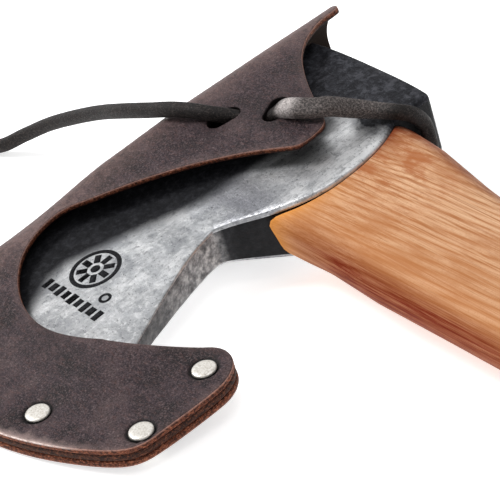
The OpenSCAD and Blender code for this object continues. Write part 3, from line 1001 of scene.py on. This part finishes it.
def wear_and_sheen(q):
    """Lighter leather: rubbed along the fold and the edges, with a painted highlight on the fold's bend that grows
    towards the top.
    """
    s, y = q[:, 0], q[:, 1]
    fold = np.exp(-((s + 63) / 9.0) ** 2) + 0.7 * np.exp(-((s + 84) / 7.0) ** 2)
    near = np.exp(-np.minimum(distance(q, outline), 9) / 0.8)
    seam = np.exp(-((from_centre(s, y) - SEAM_R) / 1.2) ** 2)
    upper = 0.62 + 0.25 * np.clip((y + 10) / 40, 0, 1)
    return np.clip(upper * fold + 0.4 * near + 0.3 * seam, 0, 1)


def lower_edge_highlight(q):
    """A painted highlight on the corner along the lower edge, strongest near the fold."""
    s, y = q[:, 0], q[:, 1]
    rim = np.exp(-np.minimum(distance(q, outline), 9) / 0.42)
    low = np.clip((-96 - y) / 8, 0, 1) * np.clip((34 - s) / 14, 0, 1) * (s > FOLD_END)
    return np.clip(rim * low * 1.2, 0, 1)


def open_edge(q):
    """1 along the edges that stand free, where their lower part gets painted shadow, 0 along the riveted seam."""
    s, y = folded(q)
    seam = from_centre(s, y) > SEAM_R - 4
    return np.where(seam | (s > 30), 0.0, 1.0)


def from_slots(q):
    return np.min([distance(q, h) for h in slot_holes], axis=0)


def slot_rim(q):
    """1 round the slots, where their edges get painted shade."""
    return np.clip((1.1 - from_slots(q)) / 0.5, 0, 1)


def painted_shade(q):
    """Painted shade: darker leather round the slots and along the cut-out."""
    low = np.exp(-((q[:, 0] + 10) / 16.0) ** 2 - ((q[:, 1] + 97) / 7.0) ** 2)
    return np.clip(0.75 * np.exp(-from_slots(q) / 5.0) + 0.7 * low, 0, 1)


sheath = slab(
    "sheath_folded_leather", outline, slot_holes, leather_outer, leather_inner, LEATHER_RIM, 2.3,
    (LEATHER, EDGE, INSIDE), extra=rivet_points(), rim_from=2,
    masks={
        "wear_and_sheen": wear_and_sheen, "lower_edge_highlight": lower_edge_highlight, "ring": rivet_ring_shade, "slot": slot_rim, "open": open_edge,
        "painted_shade": painted_shade,
    },
)
place(sheath, "sheath", "sheath_leather", "sheath_leather")


# ---- welt
def welt_outline():
    inner_r, inner_x, start = EDGE_R + 3, 23.5, FOLD_X + 2.7
    parts = [arc(SEAM_R, start, ARC_END, 60), *round_corner()]
    parts += [[HORN, (inner_x, -71.9)], arc(inner_r, inner_x, start, 60)]
    return even_outline(np.vstack(parts), 1.5, 1)


def flat_sheet(height):
    return lambda q: np.column_stack([q, np.full(len(q), height)])


WELT_HALF = 1.19
WELT_RIM = [(0.55, 0.0), (0.3, 0.1), (0.16, 0.25), (0.12, 0.5), (0.16, 0.75), (0.3, 0.9), (0.55, 1.0)]
welt = slab(
    "sheath_welt", welt_outline(), [], flat_sheet(WELT_HALF), flat_sheet(-WELT_HALF), WELT_RIM, 3.0,
    (WELT_EDGE, WELT_EDGE),
)
place(welt, "sheath", "welt_leather", "welt")

# ---- rivets
RIVET_NODES = ["heel", "corner", "edge_1", "edge_2", "toe"]
CAP_PROFILE = [
    (0.02, 3.7), (1.2, 3.69), (2.4, 3.66), (3.1, 3.6), (3.45, 3.5), (3.62, 3.34), (3.68, 3.1),
    (3.68, 2.86), (3.5, 2.8), (1.5, 2.8), (1.48, -2.6), (0.02, -2.6),
]
BACK_PROFILE = [
    (0.02, 3.5), (2.2, 3.48), (3.1, 3.42), (3.5, 3.28), (3.68, 3.08), (3.68, 2.75), (3.5, 2.66), (0.02, 2.66),
]
for centre, key in zip(RIVETS, RIVET_NODES):
    for side, profile, node in (("cap", CAP_PROFILE, "rivet"), ("back", BACK_PROFILE, "back_cap")):
        cap = revolve(f"rivet_{side}_{key}", profile, centre, NICKEL, flip=side == "back")
        place(cap, "sheath", "rivet_nickel", f"{node}_{key}")


# ---- head
LUG = (8.5, 2.0)
ARCH = (-10.5, -36.0)
HEEL = (HEEL_X, float(arc_y(EDGE_R, HEEL_X)))
LUG_BACK = bezier((0, 28), (3.5, 26), (8.5, 14), LUG, 24)
LUG_FRONT = bezier(LUG, (9.5, -18), (-5, -25), ARCH, 40)


def head_outline():
    beard = bezier(ARCH, (-10.5, -46), (6, -74), HEEL, 44)
    edge = arc(EDGE_R, HEEL_X, TOE_X, 90)
    top = np.array([(TOE_X, arc_y(EDGE_R, TOE_X)), (-POLL_H, POLL_Y - 1)])
    poll = bezier((-POLL_H, POLL_Y - 1), (-42, POLL_Y + 1.7), (-18, POLL_Y + 1.7), (-2, POLL_Y - 0.4), 30)
    corner = bezier((-2, POLL_Y - 0.4), (-0.6, POLL_Y - 0.7), (0, POLL_Y - 1.4), (0, POLL_Y - 3), 6)
    return [poll, corner, LUG_BACK, LUG_FRONT, beard, edge, top[:1]]


def head_loop():
    """The outline in even steps, without points that fall together, anticlockwise."""
    loop = resample(np.vstack(head_outline()), 1.5)
    keep = [0]
    for i in range(1, len(loop)):
        if np.linalg.norm(loop[i] - loop[keep[-1]]) > 0.35:
            keep.append(i)
    return loop[keep]


def head_half(q):
    """Half-thickness of the head at (x, y)."""
    x, y = q[:, 0], q[:, 1]
    block = np.interp(
        y, [-100, -60, -48, -37, -32, -27, -23, -19, -12, -6, 0, 44],
        [0.1, 2.0, 4.4, 6.6, 7.3, 8.0, 8.6, 9.3, 10.15, 10.6, 10.78, 10.8],
    )
    r = from_centre(x, y)
    blade = np.interp(r, [0, 29.7, EDGE_R - BEVEL, EDGE_R], [6.2, 6.2, 1.35, 0.15])
    k = 0.5
    h = soft_max(block, blade, k) - k * math.log(2) * np.exp(-((block - blade) / 1.5) ** 2)
    h = np.where(r > EDGE_R - BEVEL - 0.5, blade, h)
    poll = np.clip((POLL_Y + 1.2 - y) / 2.0, 0, 1)
    h = h - 1.3 * (1 - poll) ** 2
    hammer = 0.05 * (np.sin(x * 0.35 + 0.5) * np.sin(y * 0.29) + 0.6 * np.sin(x * 0.21 - y * 0.37 + 2))
    return np.maximum(h - 0.03 + np.where(r < EDGE_R - BEVEL - 1, hammer - 0.05, 0), 0.1)


def head_side(sign):
    return lambda q: np.column_stack([q, sign * head_half(q)])


def sheath_shade(q):
    """Painted shade on the cheeks' toe half, where the sheath stands over them, up to a line across each and to
    the bevel.
    """
    x, y = q[:, 0], q[:, 1]
    along = [-96, -88, -79, -70, -60, -50, -40, -28, -10, 0, 14]
    line = np.interp(y, along, [-32, -35, -40.5, -41.5, -37.5, -33.5, -29.5, -24, -20, -18, -14])
    into = np.clip((line - x + 4.5) / 8, 0, 1)
    bevel = np.clip((EDGE_R - 9 - from_centre(x, y)) / 9, 0, 1)
    return into * bevel * np.clip((24 - y) / 12, 0, 1)


HEAD_RIM = [
    (0.75, 0.0), (0.38, 0.012), (0.12, 0.035), (0.0, 0.075), (0.0, 0.3), (0.0, 0.5),
    (0.0, 0.7), (0.0, 0.925), (0.12, 0.965), (0.38, 0.988), (0.75, 1.0),
]
head = slab(
    "head_forged", head_loop(), [], head_side(1), head_side(-1), HEAD_RIM, 2.2, (STEEL, DARK),
    rim_from=3, masks={"sheath_shade": sheath_shade},
)
place(head, "hatchet", "head_steel", "head")


def circle(centre, r, n=40):
    a = np.linspace(0, 2 * math.pi, n, endpoint=False)
    return np.stack([centre[0] + r * np.cos(a), centre[1] + r * np.sin(a)], 1)


def bar(centre, w, h, turn=0.0):
    d, e = directions(turn)
    corners = [(-w, -h), (w, -h), (w, h), (-w, h)]
    return resample([centre + d * x / 2 + e * y / 2 for x, y in corners], 0.7)


def punch_marks():
    """The marks, as pairs of an outline and its hole: a ring with eight spokes and a hub, a row of
    plain bars, and a small ring."""
    ring, small = (-30.0, -67.0), (-16.2, -73.2)
    marks = [(circle(ring, 8.4), circle(ring, 6.9))]
    for k in range(8):
        marks.append((bar(ring + 4.4 * np.array(turned(k, 8)), 3.6, 2.1, 45 * k), None))
    marks.append((circle(ring, 1.6, 20), None))
    for k in range(-1, 8):
        marks.append((bar((-35.4 + 3.35 * k, -79.2), 2.2 if k % 3 else 2.6, 4.0 if k % 2 else 3.2), None))
    marks.append((circle(small, 2.1, 20), circle(small, 1.1, 20)))
    return marks


def stroke_plate(name, strokes):
    """Shallow marks on the front cheek, as closed outlines that follow its surface."""
    verts, faces = [], []
    for loop, hole in strokes:
        base, n, middle = len(verts), len(loop), loop.mean(0)
        inner = middle + (loop - middle) * 0.5 if hole is None else hole
        for lift, row in ((0.0, loop), (0.06, loop * 0.995 + middle * 0.005), (0.06, inner), (0.0, inner)):
            verts += list(np.column_stack([row, head_half(row) + lift - 0.02]))
        faces += [tuple(base + v for v in face) for face in ring_faces(4, n, closed=True)]
        if hole is None:
            faces.append([base + 2 * n + i for i in range(n)])
            faces.append([base + 3 * n + i for i in range(n)][::-1])
    return make_mesh(name, verts, faces, [STAMP])


place(stroke_plate("head_punch_marks", punch_marks()), "hatchet", "head_steel")


# ---- handle
def clamp(value):
    return min(1.0, max(0.0, value))


KNOB_X = 300.0
DOME_X = 290.0
LAST_SECTION_X = 292.0
ARRIS = 0.5
SIDES = 84
SECTIONS = np.array([
    # x, front, back, front radius, back radius
    [-14, -21.4, 33.5, 8.2, 9.8],
    [5, -21.6, 33.2, 8.4, 10],
    [20, -22.1, 31.6, 9.3, 10.4],
    [46, -23, 26.0, 10.6, 11],
    [76, -22.4, 21.2, 10.8, 11.3],
    [110, -22, 17.2, 11, 11.5],
    [200, -20.5, 14.5, 11.2, 12],
    [262, -27, 15.5, 12, 13],
    [292, -38, 13.5, 12.5, 13.5],
    [300, -34, 8, 8.5, 9],
], float)


def section_at(x):
    """Front, back, front radius and back radius of the handle at x."""
    return [np.interp(x, SECTIONS[:, 0], SECTIONS[:, k]) for k in range(1, 5)]


def section_point(x, theta):
    """A point of the egg-shaped section at x: two end circles joined by slightly bulged flanks.
    theta is its share of the way round, as an angle that starts at the poll side."""
    front, rear, rf, rb = section_at(x)
    cb, cf = rear - rb, front + rf
    corner = math.pi / 2 + math.asin((rb - rf) / (cb - cf))
    arc_b, line, arc_f = corner * rb, (cb - cf) * math.sin(corner), (math.pi - corner) * rf
    theta %= 2 * math.pi
    flip = 1.0
    if theta > math.pi:
        theta, flip = 2 * math.pi - theta, -1.0
    p = theta / math.pi * (arc_b + arc_f + line)
    if p < arc_b:
        y, z = cb + rb * math.cos(p / rb), rb * math.sin(p / rb)
    elif p < arc_b + line:
        t = (p - arc_b) / line
        r = rb + (rf - rb) * t
        y = cb + (cf - cb) * t + r * math.cos(corner)
        z = r * math.sin(corner) + 0.35 * math.sin(math.pi * t)
    else:
        t = corner + (p - arc_b - line) / rf
        # the front corners are squarer where the wood meets the head
        power = 2 + 2.6 * clamp(1 - max(0.0, x) / 24) ** 1.5
        r = rf / (abs(math.cos(t)) ** power + abs(math.sin(t)) ** power) ** (1 / power)
        y, z = cf + r * math.cos(t), r * math.sin(t)
    return y, flip * z


BOUNDARY = np.vstack([LUG_BACK, LUG_FRONT, [ARCH]])
BOUNDARY = BOUNDARY[np.argsort(BOUNDARY[:, 1])]


def shoulder_x(y):
    """Where the wood meets the head's underside, at y."""
    return float(np.interp(y, BOUNDARY[:, 1], BOUNDARY[:, 0])) if y < 28 else 0.0


def handle_point(share, theta):
    """A point at share of the way from the shoulder to the knob's end, and how far it is from
    the shoulder."""
    x = 10.0
    for _ in range(6):
        start = shoulder_x(section_point(x, theta)[0]) + 0.4
        x = start + (KNOB_X - start) * share
    away = x - start
    y, z = section_point(min(x, LAST_SECTION_X), theta)
    middle = 0.5 * sum(section_at(min(x, LAST_SECTION_X))[:2])
    # the nose flares a little towards the front cheek
    flare = clamp((z + 7) / 13) ** 1.5 * clamp((-y - 8) / 9)
    y -= 2.7 * flare * math.exp(-away / 6)
    # the shoulder has a rounded arris, and the knob's end is domed
    d = math.hypot(y - middle, z)
    out_y, out_z = (y - middle) / d, z / d
    arris = ARRIS * (1 - math.sqrt(1 - (1 - min(1.0, away / ARRIS)) ** 2))
    dome = 8.5 * (1 - math.sqrt(1 - (0.93 * clamp((x - DOME_X) / (KNOB_X - DOME_X))) ** 2.2))
    y -= out_y * (arris + dome)
    z -= out_z * (arris + min(dome, abs(z) * 0.95))
    return (x, y, z), away


def handle_masks(theta, away, y):
    """Painted shade: how dark the wood is along its lower front edge, its top edge and the shoulder; and how
    yellow at the nose."""
    low = clamp((math.cos(theta - 3.38) - 0.7) / 0.2) ** 1.3 * min(1.0, away / 30) ** 0.7
    high = clamp((math.cos(theta - 0.22) - 0.9) / 0.08)
    lug = math.exp(-away / 4.5) * clamp((y - 12) / 10)
    edge_shade = min(1.0, 0.22 * math.exp(-away / 1.6) + low + 0.7 * high + 0.8 * lug)
    return edge_shade, min(1.0, 1.2 * math.exp(-away / 3.4) * clamp((4 - y) / 22))


def handle_piece():
    steps = np.concatenate([
        [0.0, 0.0007, 0.0022, 0.0045, 0.0085], np.linspace(0.014, 0.955, 92),
        [0.963, 0.97, 0.977, 0.984, 0.990, 0.9945, 0.9975, 0.9992, 1.0],
    ])
    verts, masks = [], []
    for share in steps:
        for k in range(SIDES):
            theta = 2 * math.pi * k / SIDES
            point, away = handle_point(share, theta)
            verts.append(point)
            masks.append(handle_masks(theta, away, point[1]))
    faces = ring_faces(len(steps), SIDES)
    # both ends close in rings towards a point
    for row, at_head in ((0, True), (len(steps) - 1, False)):
        ids = list(range(row * SIDES, (row + 1) * SIDES))
        ring = np.array(verts)[ids]
        centre = ring.mean(0)
        for share in (0.8, 0.55, 0.3, 0.1):
            before, ids = ids, list(range(len(verts), len(verts) + SIDES))
            for corner in ring:
                p = centre + (corner - centre) * share
                p[0] = shoulder_x(p[1]) + 0.02 if at_head else corner[0] - 0.6 * share**2
                verts.append(tuple(p))
                masks.append((0.2, 0.0))
            for k in range(SIDES):
                j = (k + 1) % SIDES
                faces.append((before[k], before[j], ids[j], ids[k]))
        faces.append(ids)
    edge_shade, nose = zip(*masks)
    return make_mesh("handle_shaped", verts, faces, [WOOD], masks={"edge_shade": edge_shade, "nose": nose})


def cut_with(obj, cutter):
    m = obj.modifiers.new("cut", "BOOLEAN")
    m.operation = "DIFFERENCE"
    m.solver = "EXACT"
    m.object = cutter
    bpy.context.view_layer.update()
    done = bpy.data.meshes.new_from_object(obj.evaluated_get(bpy.context.evaluated_depsgraph_get()))
    obj.modifiers.clear()
    obj.data = done
    bpy.data.objects.remove(cutter)


handle = handle_piece()
hole = revolve("hang_hole_cutter", [(3.5, -20), (3.5, 20)], HANG[:2], WOOD)
cut_with(handle, hole)
handle.data.polygons.foreach_set("use_smooth", [True] * len(handle.data.polygons))
handle.data.set_sharp_from_angle(angle=math.radians(40))
place(handle, "hatchet", "handle_wood", "handle")


def tongue_piece():
    """The handle's tongue, which fills the eye and stands just proud of the head's top."""
    rear_r, front_r = 7.1, 4.3
    rear_y, front_y = 12.5, -15.5
    half_turn = np.linspace(-math.pi / 2, math.pi / 2, 15)
    loop = [(rear_y + rear_r * math.cos(t), rear_r * math.sin(t)) for t in half_turn]
    loop += [(front_y - front_r * math.cos(t), -front_r * math.sin(t)) for t in half_turn]
    loop = resample(loop, 1.5)
    middle = loop.mean(0)
    rows = [(8, 1), (-40, 1), (-60.3, 1), (-61.2, 0.985), (-61.5, 0.95), (-61.5, 0.6), (-61.5, 0.25)]
    verts = [(x, *(middle + (p - middle) * share)) for x, share in rows for p in loop]
    return make_mesh("handle_tongue", verts, tube_faces(len(rows), len(loop)), [TONGUE_END])


place(tongue_piece(), "hatchet", "handle_wood")
for key, material in (("eye_wedge", WEDGE_WOOD), ("steel_wedge", WEDGE_METAL)):
    node = frame["nodes"][key]
    node.data.materials.clear()
    node.data.materials.append(material)
    co = np.array([v.co for v in node.data.vertices])
    store(node.data, "local", (co - ORIGIN) @ AXES.T * 1000)

# ---- floor, light, world
floor_mesh = bpy.data.meshes.new("floor")
floor_mesh.from_pydata([(-30, -30, 0), (30, -30, 0), (30, 30, 0), (-30, 30, 0)], [], [(0, 1, 2, 3)])
floor = bpy.data.objects.new("floor", floor_mesh)
bpy.context.scene.collection.objects.link(floor)
paper = Nodes("paper")
for key, value in (
    ("Base Color", (0.86, 0.86, 0.86, 1)), ("Emission Color", (1, 1, 1, 1)), ("Emission Strength", 0.62),
    ("Roughness", 0.9), ("Specular IOR Level", 0.1),
):
    paper.put(paper.bsdf.inputs[key], value)
floor_mesh.materials.append(paper.material)


def area_light(name, where, target, size, power, colour=(1, 1, 1)):
    data = bpy.data.lights.new(name, "AREA")
    data.shape = "DISK"
    data.size = size
    data.energy = power
    data.color = colour
    obj = bpy.data.objects.new(name, data)
    obj.location = where
    obj.rotation_euler = (Vector(target) - Vector(where)).to_track_quat("-Z", "Y").to_euler()
    bpy.context.scene.collection.objects.link(obj)


FOCUS = (-0.1, -0.02, 0.0)
area_light("key", (-0.95, -0.5, 1.08), FOCUS, 0.5, 15)
area_light("back", (-1.25, 0.8, 0.95), FOCUS, 1.3, 2.6)
area_light("top", (0.1, 0.2, 1.5), FOCUS, 0.9, 3.5)
area_light("front", (0.5, -1.2, 0.55), FOCUS, 0.5, 1.6)
world = bpy.data.worlds.new("studio")
world.use_nodes = True
background = world.node_tree.nodes["Background"]
background.inputs["Color"].default_value = (1, 1, 1, 1)
background.inputs["Strength"].default_value = 0.42
bpy.context.scene.world = world
bpy.context.scene.view_settings.view_transform = "Standard"
bpy.context.scene.view_settings.look = "None"
